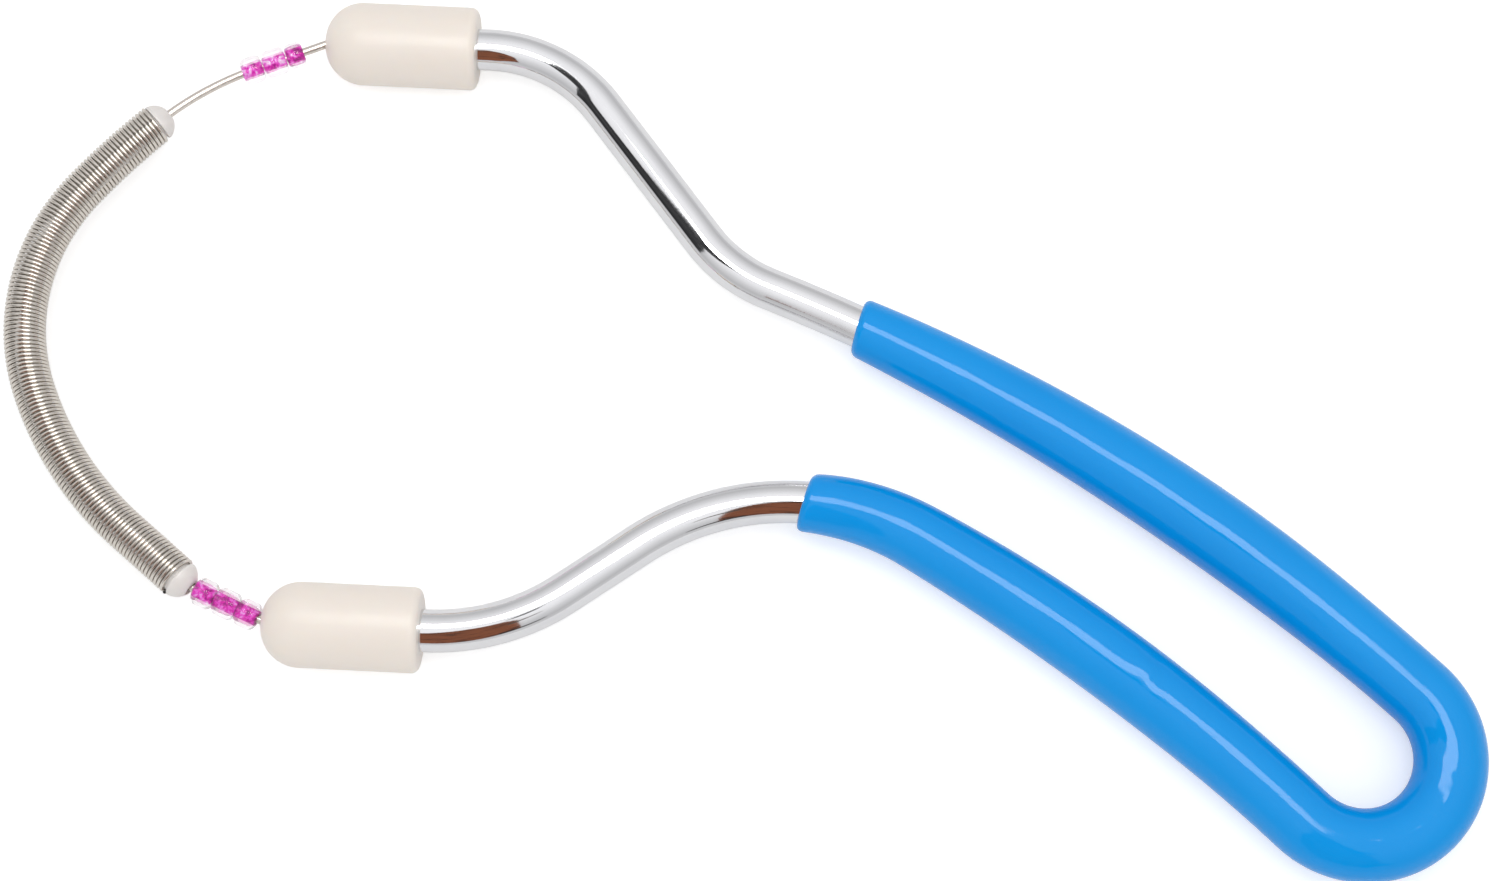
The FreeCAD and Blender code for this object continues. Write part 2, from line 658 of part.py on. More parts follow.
past_dip = doc.addObject("Part::Box", "past_dip_line")
past_dip.setExpression("Length", bound("cap_spacing"))
past_dip.setExpression("Width", bound("2 * cap_spacing"))
past_dip.setExpression("Height", bound("2 * cap_diameter"))
leaning = FreeCAD.Rotation(FreeCAD.Vector(0, 0, 1), -size("dip_line_lean"))
to_corner = leaning.multVec(FreeCAD.Vector(-size("cap_spacing"), -size("cap_spacing"), 0))
on_line = FreeCAD.Vector(size("dip_line_x"), size("dip_line_y"), -size("cap_diameter / 2"))
past_dip.Placement = FreeCAD.Placement(on_line + to_corner, leaning)
dipped = doc.addObject("Part::Cut", "dipped_skin")
dipped.Base = skin
dipped.Tool = past_dip
doc.recompute()


def lip_edges(shape):
    """Numbers of the edges round the flat ends."""
    numbers = []
    for number, edge in enumerate(shape.Edges, start=1):
        beside = shape.ancestorsOfType(edge, Part.Face)
        if len(beside) == 2 and sum(isinstance(face.Surface, Part.Plane) for face in beside) == 1:
            numbers.append(number)
    return numbers


rounded = doc.addObject("Part::Fillet", "rounded_skin")
rounded.Base = dipped
lip = size("grip_lip_radius")
rounded.Edges = [(number, lip, lip) for number in lip_edges(dipped.Shape)]

grip_sleeve = doc.addObject("Part::Cut", "grip_sleeve")
grip_sleeve.Base = rounded
grip_sleeve.Tool = frame_rod


# Checks, then one file for each piece

NODES = [
    "frame_rod",
    "grip_sleeve",
    "upper_end_cap",
    "lower_end_cap",
    "core_wire",
    "upper_wire_crimp",
    "lower_wire_crimp",
    "coil_spring",
    "upper_spring_plug",
    "lower_spring_plug",
    "upper_bead_1",
    "upper_bead_2",
    "upper_bead_3",
    "lower_bead_1",
    "lower_bead_2",
    "lower_bead_3",
]

doc.recompute()
for item in doc.Objects:
    if "Invalid" in item.State or "Error" in item.State:
        raise RuntimeError(f"{item.Name} did not compute")
pieces = {name: doc.getObject(name) for name in NODES}
for name, piece in pieces.items():
    if piece.Shape.isNull() or not piece.Shape.isValid() or len(piece.Shape.Solids) != 1:
        raise RuntimeError(f"{name} is not one valid solid")
os.makedirs("parts", exist_ok=True)
for name, piece in pieces.items():
    piece.Shape.exportStep(f"parts/{name}.step")
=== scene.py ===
import cmath
import math

import bmesh
import bpy
from mathutils import Matrix, Vector


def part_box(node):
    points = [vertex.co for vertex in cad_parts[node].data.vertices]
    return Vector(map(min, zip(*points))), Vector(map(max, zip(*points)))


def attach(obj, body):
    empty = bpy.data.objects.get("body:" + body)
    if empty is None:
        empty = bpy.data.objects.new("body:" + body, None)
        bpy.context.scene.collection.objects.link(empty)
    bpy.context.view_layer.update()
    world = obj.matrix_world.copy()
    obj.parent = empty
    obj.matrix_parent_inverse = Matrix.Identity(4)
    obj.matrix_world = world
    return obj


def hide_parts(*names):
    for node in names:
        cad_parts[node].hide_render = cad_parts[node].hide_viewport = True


# A hair removal spring lying flat: a close-wound coil held like a bow between the capped ends of
# a bent steel rod, whose closed half is dipped in blue vinyl. Sizes are in millimetres and are
# brought to metres when a mesh is made.

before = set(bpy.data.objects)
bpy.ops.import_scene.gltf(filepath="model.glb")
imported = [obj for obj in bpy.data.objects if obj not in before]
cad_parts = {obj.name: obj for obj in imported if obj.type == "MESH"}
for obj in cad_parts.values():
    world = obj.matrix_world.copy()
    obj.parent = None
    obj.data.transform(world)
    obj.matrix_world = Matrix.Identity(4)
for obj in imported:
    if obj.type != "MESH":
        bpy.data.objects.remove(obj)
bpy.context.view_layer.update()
MM = 0.001


# The frame rod: one length of 5 mm steel, chromed and then bent cold in the plane of the tool.
# Its ends lie in the two caps, and its two straight runs take the length that the bends leave.

def node_corners(node):
    """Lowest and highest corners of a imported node."""
    low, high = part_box(node)
    return low / MM, high / MM


def walk(start, heading, steps):
    """Places along a path of runs (length, None) and bends (radius, turn in radians)."""
    places = [(start, heading, 0.0)]
    for size, turn in steps:
        point, heading, distance = places[-1]
        if turn is None:
            places.append((point + cmath.rect(size, heading), heading, distance + size))
        else:
            centre = point + cmath.rect(math.copysign(size, turn), heading + math.pi / 2)
            point = centre + (point - centre) * cmath.exp(1j * turn)
            places.append((point, heading + turn, distance + size * abs(turn)))
    return places


OPEN_RUN = (0, None)


def close_path(start, heading, steps, finish):
    """Fills in the two open runs so that the path ends at its finish."""
    open_runs = [number for number, step in enumerate(steps) if step == OPEN_RUN]
    places = walk(start, heading, steps)
    first, second = (cmath.rect(1, places[number][1]) for number in open_runs)
    missing = finish - places[-1][0]
    spread = first.real * second.imag - first.imag * second.real
    steps = list(steps)
    steps[open_runs[0]] = ((missing.real * second.imag - missing.imag * second.real) / spread, None)
    steps[open_runs[1]] = ((first.real * missing.imag - first.imag * missing.real) / spread, None)
    return steps


def place_on(start, heading, steps, distance):
    """Point and heading at a distance along a path."""
    places = walk(start, heading, steps)
    number = 0
    while number < len(steps) - 1 and places[number + 1][2] < distance:
        number += 1
    point, heading, before = places[number]
    size, turn = steps[number]
    if turn is None:
        part = (distance - before, None)
    else:
        part = (size, math.copysign((distance - before) / size, turn))
    point, heading, _ = walk(point, heading, [part])[-1]
    return point, heading


def bend(radius, turn):
    return radius, math.radians(turn)


ROD_THICKNESS = 5.0
AXIS_HEIGHT = 5.0
UPPER_BENDS = ((18.3, -51.0), (18.5, 31.2), (248.0, -20.7))
LOOP_BEND = (10.2, -180.9)
LOWER_BENDS = ((227.5, 13.7), (30.9, 64.3))
LAST_BEND_RADIUS = 26.7
UPPER_STUB = 1.4
LOWER_STUB = 0.5

upper_cap_low, upper_cap_high = node_corners("upper_end_cap")
lower_cap_low, lower_cap_high = node_corners("lower_end_cap")
upper_rim = complex(upper_cap_high.x, (upper_cap_low.y + upper_cap_high.y) / 2)
lower_rim = complex(lower_cap_high.x, (lower_cap_low.y + lower_cap_high.y) / 2)
rod_low, _ = node_corners("frame_rod")
rod_seat = lower_rim.real - rod_low.x
last_turn = -180.0 - sum(turn for _, turn in (*UPPER_BENDS, LOOP_BEND, *LOWER_BENDS))
rod_start = upper_rim - rod_seat
rod_steps = close_path(
    rod_start,
    0.0,
    [
        (rod_seat + UPPER_STUB, None),
        bend(*UPPER_BENDS[0]),
        OPEN_RUN,
        bend(*UPPER_BENDS[1]),
        bend(*UPPER_BENDS[2]),
        bend(*LOOP_BEND),
        bend(*LOWER_BENDS[0]),
        bend(*LOWER_BENDS[1]),
        OPEN_RUN,
        bend(LAST_BEND_RADIUS, last_turn),
        (rod_seat + LOWER_STUB, None),
    ],
    lower_rim - rod_seat,
)
rod_marks = [distance for _, _, distance in walk(rod_start, 0.0, rod_steps)]


def rod_place(distance):
    return place_on(rod_start, 0.0, rod_steps, distance)


def put_in_scene(name, data):
    """An object at the origin that shows a curve, a mesh, a lamp or a camera."""
    shown = bpy.data.objects.new(name, data)
    bpy.context.scene.collection.objects.link(shown)
    return shown


def path_curve(name, place, start, end, spacing):
    """A curve along a stretch of a path, which a shape below takes up."""
    count = max(2, round((end - start) / spacing) + 1)
    curve = bpy.data.curves.new(name, "CURVE")
    curve.dimensions = "3D"
    spline = curve.splines.new("POLY")
    spline.points.add(count - 1)
    for number in range(count):
        point, _ = place(start + (end - start) * number / (count - 1))
        spline.points[number].co = (point.real * MM, point.imag * MM, AXIS_HEIGHT * MM, 1)
    return put_in_scene(name, curve)


class Signal:
    """A node's output that can be used in sums."""

    def __init__(self, nodes, socket):
        self.nodes = nodes
        self.socket = socket

    def math(self, operation, first, second):
        return self.nodes.node("ShaderNodeMath", {"operation": operation}, {0: first, 1: second})

    def __add__(self, other):
        return self.math("ADD", self, other)

    def __radd__(self, other):
        return self.math("ADD", other, self)

    def __mul__(self, other):
        return self.math("MULTIPLY", self, other)

    def __rmul__(self, other):
        return self.math("MULTIPLY", other, self)


class Nodes:
    """The nodes of a shape, a finish or the world, which all come from one method."""

    def __init__(self, tree):
        self.tree = tree
        self.tree.nodes.clear()

    def node(self, kind, settings=None, sockets=None, output=0):
        """Makes a node with its settings first, then the values or links of its sockets."""
        node = self.tree.nodes.new(kind)
        for key, value in (settings or {}).items():
            if key == "stops":
                self.set_stops(node.color_ramp.elements, value)
            else:
                setattr(node, key, value)
        for key, value in (sockets or {}).items():
            socket = node.inputs[key]
            if isinstance(value, Signal):
                self.tree.links.new(value.socket, socket)
            elif socket.type == "RGBA":
                socket.default_value = (*value, 1.0)
            else:
                socket.default_value = value
        return Signal(self, node.outputs[output]) if node.outputs else None

    def set_stops(self, elements, stops):
        while len(elements) < len(stops):
            elements.new(1.0)
        for element, (position, colour) in zip(elements, stops):
            element.position = position
            element.color = (*colour, 1.0)

    def vector(self, operation, sockets):
        return self.node("ShaderNodeVectorMath", {"operation": operation}, sockets)


class Shape(Nodes):
    """A geometry tree that takes a curve, its sizes and its finish, and gives a mesh."""

    def __init__(self, name, sizes):
        super().__init__(bpy.data.node_groups.new(name, "GeometryNodeTree"))
        sockets = self.tree.interface
        sockets.new_socket("Curve", in_out="INPUT", socket_type="NodeSocketGeometry")
        for label, kind in sizes.items():
            sockets.new_socket(label, in_out="INPUT", socket_type=kind)
        sockets.new_socket("Finish", in_out="INPUT", socket_type="NodeSocketMaterial")
        sockets.new_socket("Mesh", in_out="OUTPUT", socket_type="NodeSocketGeometry")

    def given(self, label):
        return self.node("NodeGroupInput", output=label)

    def sweep(self, curve, thickness):
        """Sweeps a round bar along a curve and gives real faces that carry their finish."""
        circle = {"Resolution": self.given("Sides"), "Radius": thickness * 0.5}
        section = self.node("GeometryNodeCurvePrimitiveCircle", None, circle)
        swept = {"Curve": curve, "Profile Curve": section, "Fill Caps": True}
        bar = self.node("GeometryNodeCurveToMesh", None, swept)
        smooth = self.node("GeometryNodeSetShadeSmooth", None, {"Geometry": bar})
        real = self.node("GeometryNodeRealizeInstances", None, {"Geometry": smooth})
        finished = {"Geometry": real, "Material": self.given("Finish")}
        mesh = self.node("GeometryNodeSetMaterial", None, finished)
        self.node("NodeGroupOutput", None, {"Mesh": mesh})
        return self


def round_bar():
    """A round bar along the curve that it is given."""
    shape = Shape("round_bar", {"Thickness": "NodeSocketFloat", "Sides": "NodeSocketInt"})
    return shape.sweep(shape.given("Curve"), shape.given("Thickness"))


def grow(name, curve, shape, sizes, sharp):
    """Runs a shape on a curve and keeps what it gives as a plain mesh."""
    modifier = curve.modifiers.new("shape", "NODES")
    modifier.node_group = shape.tree
    for item in shape.tree.interface.items_tree:
        if item.in_out == "INPUT" and item.name in sizes:
            modifier[item.identifier] = sizes[item.name]
    depsgraph = bpy.context.evaluated_depsgraph_get()
    mesh = bpy.data.meshes.new_from_object(curve.evaluated_get(depsgraph), depsgraph=depsgraph)
    curve.modifiers.remove(modifier)
    bpy.data.objects.remove(curve)
    mesh.name = name
    mesh.set_sharp_from_angle(angle=math.radians(sharp))
    return put_in_scene(name, mesh)


class Finish(Nodes):
    """A material."""

    MIX_SHARE = 0
    MIX_FIRST = 6
    MIX_SECOND = 7
    MIX_COLOUR = 2

    def __init__(self, name):
        self.material = bpy.data.materials.new(name)
        self.material.use_nodes = True
        super().__init__(self.material.node_tree)

    def place(self, scale=(1.0, 1.0, 1.0), turn=0.0):
        """Object coordinates in millimetres, turned about Z and then scaled."""
        raw = self.node("ShaderNodeTexCoord", output="Object")
        values = {"Vector": raw, "Rotation": (0, 0, turn)}
        turned = self.node("ShaderNodeMapping", {"vector_type": "TEXTURE"}, values)
        return self.vector("MULTIPLY", {0: turned, 1: tuple(size / MM for size in scale)})

    def noise(self, place, scale, detail=2.0, roughness=0.5):
        values = {"Vector": place, "Scale": scale, "Detail": detail, "Roughness": roughness}
        return self.node("ShaderNodeTexNoise", None, values)

    def mix(self, first, second, share):
        values = {self.MIX_SHARE: share, self.MIX_FIRST: first, self.MIX_SECOND: second}
        return self.node("ShaderNodeMix", {"data_type": "RGBA"}, values, self.MIX_COLOUR)

    def bump(self, height, depth, normal=None):
        values = {"Height": height, "Distance": depth * MM, "Strength": 1.0}
        if normal is not None:
            values["Normal"] = normal
        return self.node("ShaderNodeBump", None, values)

    def surface(self, **sockets):
        """Ends the material in one Principled surface."""
        values = {key.replace("_", " "): value for key, value in sockets.items()}
        return self.end_in(self.node("ShaderNodeBsdfPrincipled", None, values))

    def end_in(self, shader):
        self.node("ShaderNodeOutputMaterial", None, {"Surface": shader})
        return self.material


CHROME = (0.80, 0.80, 0.81)
DULLED_CHROME = (0.70, 0.70, 0.72)


def chromed_steel():
    """Bright chrome with the faint draw marks and dulled patches of a handled rod."""
    finish = Finish("chromed_steel")
    place = finish.place()
    clouding = finish.noise(place, scale=0.18, detail=3.0)
    draw_marks = finish.noise(place, scale=2.4)
    return finish.surface(
        Base_Color=finish.mix(CHROME, DULLED_CHROME, clouding),
        Metallic=1.0,
        Roughness=0.035 + clouding * 0.05,
        Normal=finish.bump(draw_marks, depth=0.0012),
    )


ROD_SPACING = 0.5
ROD_SIDES = 72
bar_shape = round_bar()
rod = grow(
    "bent_rod",
    path_curve("rod_path", rod_place, 0.0, rod_marks[-1], ROD_SPACING),
    bar_shape,
    {"Thickness": ROD_THICKNESS * MM, "Sides": ROD_SIDES, "Finish": chromed_steel()},
    sharp=40,
)
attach(rod, "frame")
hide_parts("frame_rod")


# The core wire: a 1 mm spring wire that runs from cap to cap and carries all that is threaded on
# it. It kinks in the mouth of each nose, and inside the coil it takes the coil's own curve.

WIRE_THICKNESS = 1.0
WIRE_GRIP_LENGTH = 6.5
NOSE_BEND_RADIUS = 3.0
UPPER_NOSE_LEAN = 23.6
BOW_BENDS = ((38.2, 20.4), (87.4, 7.8), (24.8, 61.2), (41.9, 28.7))
PLUG_BEND = (8.0, 15.5)
LOWER_WIRE_RUN = 8.8

lower_nose_lean = 180.0 - UPPER_NOSE_LEAN - PLUG_BEND[1] - sum(turn for _, turn in BOW_BENDS)
upper_nose = complex(upper_cap_low.x, upper_rim.imag)
lower_nose = complex(lower_cap_low.x, lower_rim.imag)
wire_start = upper_nose + WIRE_GRIP_LENGTH


def held_run(lean):
    """The run in a cap, as far as the kink in its nose."""
    return WIRE_GRIP_LENGTH - NOSE_BEND_RADIUS * math.sin(math.radians(lean)), None


wire_steps = close_path(
    wire_start,
    math.pi,
    [
        held_run(UPPER_NOSE_LEAN),
        bend(NOSE_BEND_RADIUS, UPPER_NOSE_LEAN),
        OPEN_RUN,
        *(bend(*step) for step in BOW_BENDS),
        OPEN_RUN,
        bend(*PLUG_BEND),
        (LOWER_WIRE_RUN, None),
        bend(NOSE_BEND_RADIUS, lower_nose_lean),
        held_run(lower_nose_lean),
    ],
    lower_nose + WIRE_GRIP_LENGTH,
)
wire_marks = [distance for _, _, distance in walk(wire_start, math.pi, wire_steps)]

# Steps of the wire that begin at these places.
UPPER_RUN = 2
COIL_START = 4
COIL_END = 8
LOWER_NOSE = 10


def wire_place(distance):
    return place_on(wire_start, math.pi, wire_steps, distance)


DRAWN_WIRE = (0.74, 0.685, 0.63)
TARNISHED_WIRE = (0.60, 0.55, 0.50)


def spring_wire():
    """Bright drawn wire, warmer and duller in patches."""
    finish = Finish("spring_wire")
    clouding = finish.noise(finish.place(), scale=0.9)
    return finish.surface(
        Base_Color=finish.mix(DRAWN_WIRE, TARNISHED_WIRE, clouding),
        Metallic=1.0,
        Roughness=0.20 + clouding * 0.10,
    )


WIRE_SPACING = 0.25
WIRE_SIDES = 32
bright_wire = spring_wire()
wire = grow(
    "threading_wire",
    path_curve("wire_path", wire_place, 0.0, wire_marks[-1], WIRE_SPACING),
    bar_shape,
    {"Thickness": WIRE_THICKNESS * MM, "Sides": WIRE_SIDES, "Finish": bright_wire},
    sharp=40,
)
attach(wire, "frame")
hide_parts("core_wire")


# The coil: 0.45 mm stainless wire wound with no gap, then bent, so that the turns open like a fan
# on the outside. Skin is rolled under it, and the fan's gaps close on the hairs.

COIL_THICKNESS = 5.0
COIL_WIRE = 0.45
TURN_CLEARANCE = 0.005
coil_reach = (COIL_THICKNESS - COIL_WIRE) / 2
tightest = min(radius for radius, _ in BOW_BENDS)
coil_from = wire_marks[COIL_START] + COIL_WIRE / 2
coil_to = wire_marks[COIL_END] - COIL_WIRE / 2
closest_pitch = (COIL_WIRE + TURN_CLEARANCE) * tightest / (tightest - coil_reach)
turns = int((coil_to - coil_from) / closest_pitch)


def close_coil():
    """Winds a helix round the curve that it is given and sweeps the wire along it."""
    sizes = {
        "Turns": "NodeSocketInt",
        "Steps per turn": "NodeSocketInt",
        "Reach": "NodeSocketFloat",
        "Wire": "NodeSocketFloat",
        "Sides": "NodeSocketInt",
    }
    shape = Shape("close_coil", sizes)
    count = shape.given("Turns") * shape.given("Steps per turn") + 1.0
    divided = {"Curve": shape.given("Curve"), "Count": count}
    line = shape.node("GeometryNodeResampleCurve", {"mode": "COUNT"}, divided)
    share = shape.node("GeometryNodeSplineParameter", output="Factor")
    angle = share * (shape.given("Turns") * (2 * math.pi))
    tangent = shape.node("GeometryNodeInputTangent")
    up = shape.node("ShaderNodeCombineXYZ", None, {"Z": 1.0})
    across = shape.vector("NORMALIZE", {0: shape.vector("CROSS_PRODUCT", {0: tangent, 1: up})})
    cosine = shape.node("ShaderNodeMath", {"operation": "COSINE"}, {0: angle})
    sine = shape.node("ShaderNodeMath", {"operation": "SINE"}, {0: angle})
    sideways = shape.vector("SCALE", {0: across, "Scale": cosine})
    upwards = shape.vector("SCALE", {0: up, "Scale": sine})
    outwards = shape.vector("ADD", {0: sideways, 1: upwards})
    offset = shape.vector("SCALE", {0: outwards, "Scale": shape.given("Reach")})
    helix = shape.node("GeometryNodeSetPosition", None, {"Geometry": line, "Offset": offset})
    return shape.sweep(helix, shape.given("Wire"))


BRIGHT_COIL = (0.74, 0.70, 0.65)
FILMED_COIL = (0.62, 0.575, 0.52)


def coil_steel():
    """Stainless spring wire, a little warmer than the chrome, with draw marks and handling film."""
    finish = Finish("coil_steel")
    place = finish.place()
    clouding = finish.noise(place, scale=0.35, detail=3.0)
    streaks = finish.noise(place, scale=6.0)
    return finish.surface(
        Base_Color=finish.mix(BRIGHT_COIL, FILMED_COIL, clouding),
        Metallic=1.0,
        Roughness=0.04 + streaks * 0.06,
    )


COIL_STEPS = 30
COIL_SIDES = 12
coil_sizes = {
    "Turns": turns,
    "Steps per turn": COIL_STEPS,
    "Reach": coil_reach * MM,
    "Wire": COIL_WIRE * MM,
    "Sides": COIL_SIDES,
    "Finish": coil_steel(),
}
coil_line = path_curve("coil_path", wire_place, coil_from, coil_to, WIRE_SPACING)
coil = grow("wound_coil", coil_line, close_coil(), coil_sizes, sharp=50)
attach(coil, "frame")
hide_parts("coil_spring")


# The plugs: turned from milky nylon, with a shank pushed into each end of the coil and a domed
# head that keeps the sharp end of its wire off the skin.

def closed_piece(name, shape, material, sharp):
    """Makes a closed shape a smooth piece of one material."""
    bmesh.ops.recalc_face_normals(shape, faces=shape.faces)
    for face in shape.faces:
        face.smooth = True
    mesh = bpy.data.meshes.new(name)
    shape.to_mesh(mesh)
    shape.free()
    mesh.set_sharp_from_angle(angle=math.radians(sharp))
    mesh.materials.append(material)
    return put_in_scene(name, mesh)


def lathe(name, outline, place, material, around=64, sharp=35):
    """Turns a closed outline of (x, radius) points about a path's line at a place."""
    point, heading = place
    moved = Matrix.Translation((point.real, point.imag, AXIS_HEIGHT)) @ Matrix.Rotation(heading, 4, "Z")
    shape = bmesh.new()
    rings = []
    for number in range(around):
        angle = 2 * math.pi * number / around
        spots = [Vector((x, radius * math.cos(angle), radius * math.sin(angle))) for x, radius in outline]
        rings.append([shape.verts.new((moved @ spot) * MM) for spot in spots])
    for number in range(around):
        near, far = rings[number - 1], rings[number]
        for corner in range(len(outline)):
            shape.faces.new((near[corner - 1], near[corner], far[corner], far[corner - 1]))
    return closed_piece(name, shape, material, sharp)


def arc(centre_x, centre_radius, radius, start, end, steps):
    """Points of an arc in an outline, with angles in degrees from the axis."""
    points = []
    for number in range(steps + 1):
        angle = math.radians(start + (end - start) * number / steps)
        points.append((centre_x + radius * math.cos(angle), centre_radius + radius * math.sin(angle)))
    return points


PLUG_THICKNESS = 4.6
PLUG_RIM = 0.3
PLUG_DOME_RADIUS = 2.4
PLUG_SHANK_LENGTH = 2.6
PLUG_SHANK_CLEARANCE = 0.1
PLUG_SEAT_CLEARANCE = 0.02
PLUG_HOLE = 0.9
PLUG_EDGE = 0.12
PLUG_EDGE_STEPS = 5
PLUG_DOME_STEPS = 14


def plug_outline():
    """Shank, seat and dome of a plug, with the seat at the coil's last turn."""
    shank = COIL_THICKNESS / 2 - COIL_WIRE - PLUG_SHANK_CLEARANCE
    head = PLUG_THICKNESS / 2
    centre = PLUG_RIM - math.sqrt(PLUG_DOME_RADIUS ** 2 - head ** 2)
    start = math.degrees(math.asin(head / PLUG_DOME_RADIUS))
    end = math.degrees(math.asin(PLUG_HOLE / PLUG_DOME_RADIUS))
    return [
        (-PLUG_SHANK_LENGTH, PLUG_HOLE),
        (-PLUG_SHANK_LENGTH, shank),
        (PLUG_SEAT_CLEARANCE, shank),
        *arc(PLUG_SEAT_CLEARANCE + PLUG_EDGE, head - PLUG_EDGE, PLUG_EDGE, 180, 90, PLUG_EDGE_STEPS),
        *arc(centre, 0, PLUG_DOME_RADIUS, start, end, PLUG_DOME_STEPS),
    ]


WHITE_NYLON = (0.82, 0.785, 0.755)
GREY_NYLON = (0.75, 0.71, 0.68)


def milky_nylon():
    """Unfilled nylon: white, waxy and slightly see-through."""
    finish = Finish("milky_nylon")
    place = finish.place()
    clouding = finish.noise(place, scale=0.7, detail=3.0)
    return finish.surface(
        Base_Color=finish.mix(WHITE_NYLON, GREY_NYLON, clouding),
        Roughness=0.34 + clouding * 0.12,
        Subsurface_Weight=0.35,
        Subsurface_Radius=(1.0, 0.9, 0.8),
        Subsurface_Scale=0.6 * MM,
        Normal=finish.bump(finish.noise(place, scale=5.0), depth=0.006),
    )


nylon = milky_nylon()
for side, coil_mouth, facing in (
    ("upper", wire_marks[COIL_START], math.pi),
    ("lower", wire_marks[COIL_END], 0.0),
):
    point, heading = wire_place(coil_mouth)
    plug = lathe(f"{side}_domed_plug", plug_outline(), (point, heading + facing), nylon)
    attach(plug, "frame")
    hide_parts(f"{side}_spring_plug")


# The beads: drawn glass tube cut short and fire-polished, clear outside with a coloured lining
# in the bore. Three spin on the wire at each end as spacers between cap and coil.

BEAD_EDGE = 0.75
BEAD_EDGE_STEPS = 8
BEAD_HOLE = 0.59
LINING_CLEAR = 0.05
FULL_LINING_RADIUS = 0.90
THIN_LINING_RADIUS = 0.74
BEAD_GAP = 0.06
UPPER_BEAD_OFFSET = 2.9
LOWER_BEAD_OFFSET = 0.5
ODD_BEAD = (3.1, 2.2)
PLAIN_BEAD = (3.4, 2.6)
LONG_BEAD = (3.4, 2.9)


def bead_outline(thickness, length):
    """Glass of a bead about its middle, with both edges melted round."""
    half, radius = length / 2, thickness / 2
    return [
        (-half, BEAD_HOLE),
        *arc(-half + BEAD_EDGE, radius - BEAD_EDGE, BEAD_EDGE, 180, 90, BEAD_EDGE_STEPS),
        *arc(half - BEAD_EDGE, radius - BEAD_EDGE, BEAD_EDGE, 90, 0, BEAD_EDGE_STEPS),
        (half, BEAD_HOLE),
    ]


def lining_outline(length, radius):
    half = length / 2 - LINING_CLEAR
    return [(-half, BEAD_HOLE), (-half, radius), (half, radius), (half, BEAD_HOLE)]


GLASS_TINT = (1.0, 0.97, 0.99)


def bead_glass():
    """Clear soda glass with a slight skin of ripples."""
    finish = Finish("bead_glass")
    place = finish.place()
    return finish.surface(
        Base_Color=GLASS_TINT,
        Roughness=0.02 + finish.noise(place, scale=1.6) * 0.03,
        Transmission_Weight=1.0,
        IOR=1.36,
        Alpha=0.6,
        Normal=finish.bump(finish.noise(place, scale=1.1, detail=1.0), depth=0.05),
    )


# The last, pale pink stop is painted glints of light on the lining, not a colour of the enamel.
LINING_AND_GLINT_COLOURS = (
    (0.38, (0.36, 0.0, 0.22)),
    (0.46, (0.82, 0.004, 0.48)),
    (0.56, (0.90, 0.12, 0.74)),
    (0.64, (1.0, 0.72, 0.95)),
)


def bead_lining(name, glint_shift):
    """Magenta enamel in the bore, thick and dark in places, with pale pink patches painted in as glints of
    light.
    """
    finish = Finish(name)
    patches = finish.noise(finish.place(), scale=1.5, detail=3.0, roughness=0.7)
    colours = finish.node("ShaderNodeValToRGB", {"stops": LINING_AND_GLINT_COLOURS}, {0: patches + glint_shift})
    return finish.surface(Base_Color=colours, Roughness=0.22)


glass = bead_glass()
# Each lining's shift moves its colours towards the painted pale glints; the thin lining gets more of them.
full_lining = (FULL_LINING_RADIUS, bead_lining("full_lining", -0.04))
worn_lining = (THIN_LINING_RADIUS, bead_lining("worn_lining", 0.01))


def thread_beads(side, beads, distance, direction):
    """Threads beads from a nose towards the coil."""
    for number, ((thickness, length), (radius, lining)) in enumerate(beads, start=1):
        middle = wire_place(distance + direction * length / 2)
        node = f"{side}_bead_{number}"
        body = lathe(f"{node}_glass", bead_outline(thickness, length), middle, glass, sharp=60)
        bore = lathe(f"{node}_lining", lining_outline(length, radius), middle, lining)
        for piece in (body, bore):
            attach(piece, node)
        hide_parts(node)
        distance += direction * (length + BEAD_GAP)


upper_beads = ((ODD_BEAD, full_lining), (LONG_BEAD, worn_lining), (PLAIN_BEAD, worn_lining))
lower_beads = ((PLAIN_BEAD, full_lining), (LONG_BEAD, full_lining), (PLAIN_BEAD, full_lining))
thread_beads("upper", upper_beads, wire_marks[UPPER_RUN] + UPPER_BEAD_OFFSET, 1)
thread_beads("lower", lower_beads, wire_marks[LOWER_NOSE] - LOWER_BEAD_OFFSET, -1)


# The end caps: injection moulded in ivory, blind behind and glued over the rod's ends, with the
# wire coming out of a hole in the rounded nose.

CAP_NOSE_RADIUS = 4.6
CAP_RIM_RADIUS = 0.9
NOSE_WALL = 3.0
NOSE_HOLE_PLAY = 0.42
ROD_PLAY = 0.02
POCKET_RADIUS = 2.1
POCKET_LENGTH = 4.2
CAP_AROUND = 128
CAP_NOSE_STEPS = 24
CAP_RIM_STEPS = 8
cap_length = upper_cap_high.x - upper_cap_low.x
cap_radius = (upper_cap_high.z - upper_cap_low.z) / 2


